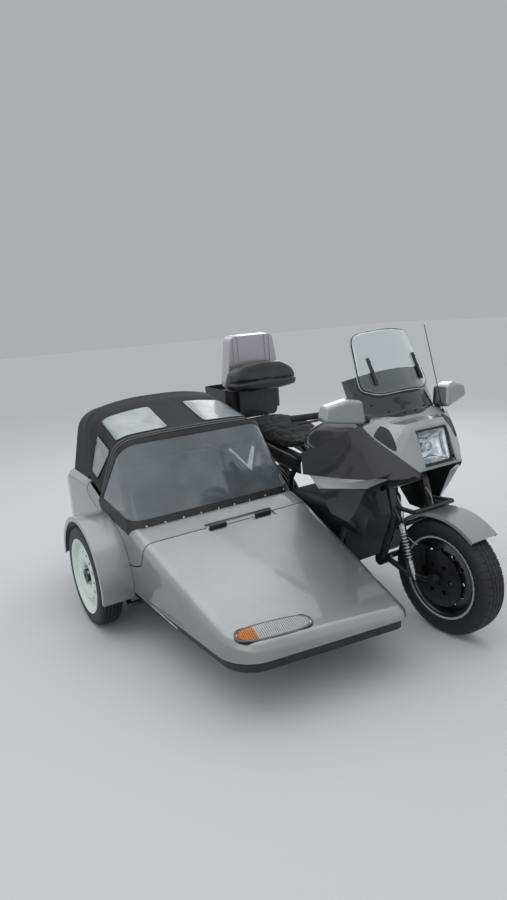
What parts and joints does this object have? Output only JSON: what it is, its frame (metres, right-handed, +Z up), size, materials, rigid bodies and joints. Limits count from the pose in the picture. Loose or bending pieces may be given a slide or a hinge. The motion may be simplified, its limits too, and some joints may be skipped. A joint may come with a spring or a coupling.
{
  "type": "sidecar motorcycle",
  "caption": "Touring motorcycle with leading-link fork, half fairing, open top case and a wide family sidecar with a windscreen lid and a folding soft top, standing on its wheels.",
  "frame": {"origin": "middle of the whole vehicle's plan outline, on the ground", "axes": "-Y forwards, +X to the rider's left, the sidecar towards -X, +Z up"},
  "size_m": [1.876, 2.424, 1.456],
  "materials": {
    "silver_paint": "metallic gloss",
    "lid_paint": "satin",
    "tyre": "matte",
    "black_rim": "gloss",
    "pale_rim": "satin",
    "disc_steel": "brushed",
    "black_frame": "semi-gloss",
    "spring_chrome": "polished",
    "rubber": "matte",
    "lever_alloy": "cast, painted dark",
    "engine_alloy": "cast",
    "exhaust_steel": "heat-stained",
    "seat_vinyl": "grained",
    "bench_cloth": "woven",
    "black_plastic": "grained",
    "antenna_steel": "semi-gloss",
    "screen_clear": "clear acrylic",
    "screen_smoked": "smoked acrylic",
    "edging": "matte",
    "canvas": "coated canvas",
    "lamp_glass": "clear lens",
    "lamp_red": "gloss"
  },
  "bodies": {
    "chassis": {"antenna": "antenna_steel", "backrest_pad": "seat_vinyl", "backrest_stand": "black_frame", "dashboard": "black_plastic", "engine": "engine_alloy", "exhaust_pipes": "exhaust_steel", "frame": "black_frame", "fuel_tank": "silver_paint", "headlight": "lamp_glass", "lid_hinges": "black_frame", "lower_fairings": "silver_paint", "lower_screen": "screen_smoked", "luggage_rack": "black_frame", "mirror_stems": "black_plastic", "mirrors": "silver_paint", "nose_fairing": "silver_paint", "radiator": "black_frame", "rear_arm": "black_frame", "rear_shock": "spring_chrome", "screen_clamps": "black_plastic", "seat": "seat_vinyl", "side_fairings": "silver_paint", "sidecar_arm": "black_frame", "sidecar_fender": "silver_paint", "sidecar_frame": "black_frame", "sidecar_hull": "silver_paint", "sidecar_lamp": "lamp_glass", "sidecar_seat": "bench_cloth", "sidecar_underside": "black_plastic", "silencer": "exhaust_steel", "soft_top": "canvas", "tail_cover": "silver_paint", "tail_lamp": "lamp_red", "tall_screen": "screen_clear", "topcase_base": "black_plastic"},
    "steering": {"fork": "black_frame", "leading_link": "black_frame", "fork_shocks": "spring_chrome", "front_fender": "silver_paint", "handlebar": "black_frame", "grips": "rubber", "levers": "lever_alloy", "front_calipers": "lever_alloy"},
    "front_wheel_body": {"front_tyre": "tyre", "front_wheel": "black_rim", "front_discs": "disc_steel"},
    "rear_wheel_body": {"rear_tyre": "tyre", "rear_wheel": "black_rim"},
    "sidecar_wheel_body": {"sidecar_tyre": "tyre", "sidecar_wheel": "pale_rim"},
    "sidecar_lid_body": {"sidecar_lid": "silver_paint", "windscreen": "screen_clear", "windscreen_frame": "edging"},
    "topcase_lid_body": {"topcase_lid": "lid_paint"}
  },
  "joints": [
    {"name": "steering", "type": "hinge", "parent": "chassis", "child": "steering", "pos_m": [0.46199, -0.6364, 0.69], "axis": [0, 0.454, 0.891], "range_deg": [-30, 30]},
    {"name": "front_wheel_spin", "type": "hinge", "parent": "steering", "child": "front_wheel_body", "pos_m": [0.46199, -0.928, 0.284], "axis": [1, 0, 0], "continuous": true},
    {"name": "rear_wheel_spin", "type": "hinge", "parent": "chassis", "child": "rear_wheel_body", "pos_m": [0.46199, 0.572, 0.288], "axis": [1, 0, 0], "continuous": true},
    {"name": "sidecar_wheel_spin", "type": "hinge", "parent": "chassis", "child": "sidecar_wheel_body", "pos_m": [-0.87201, 0.32, 0.275], "axis": [1, 0, 0], "continuous": true},
    {"name": "sidecar_lid_hinge", "type": "hinge", "parent": "chassis", "child": "sidecar_lid_body", "pos_m": [-0.27801, -0.184, 0.552], "axis": [1, 0, 0], "range_deg": [0, 35]},
    {"name": "topcase_lid_hinge", "type": "hinge", "parent": "chassis", "child": "topcase_lid_body", "pos_m": [0.46199, 0.768, 1.099], "axis": [1, 0, 0], "range_deg": [-90, 0]}
  ]
}
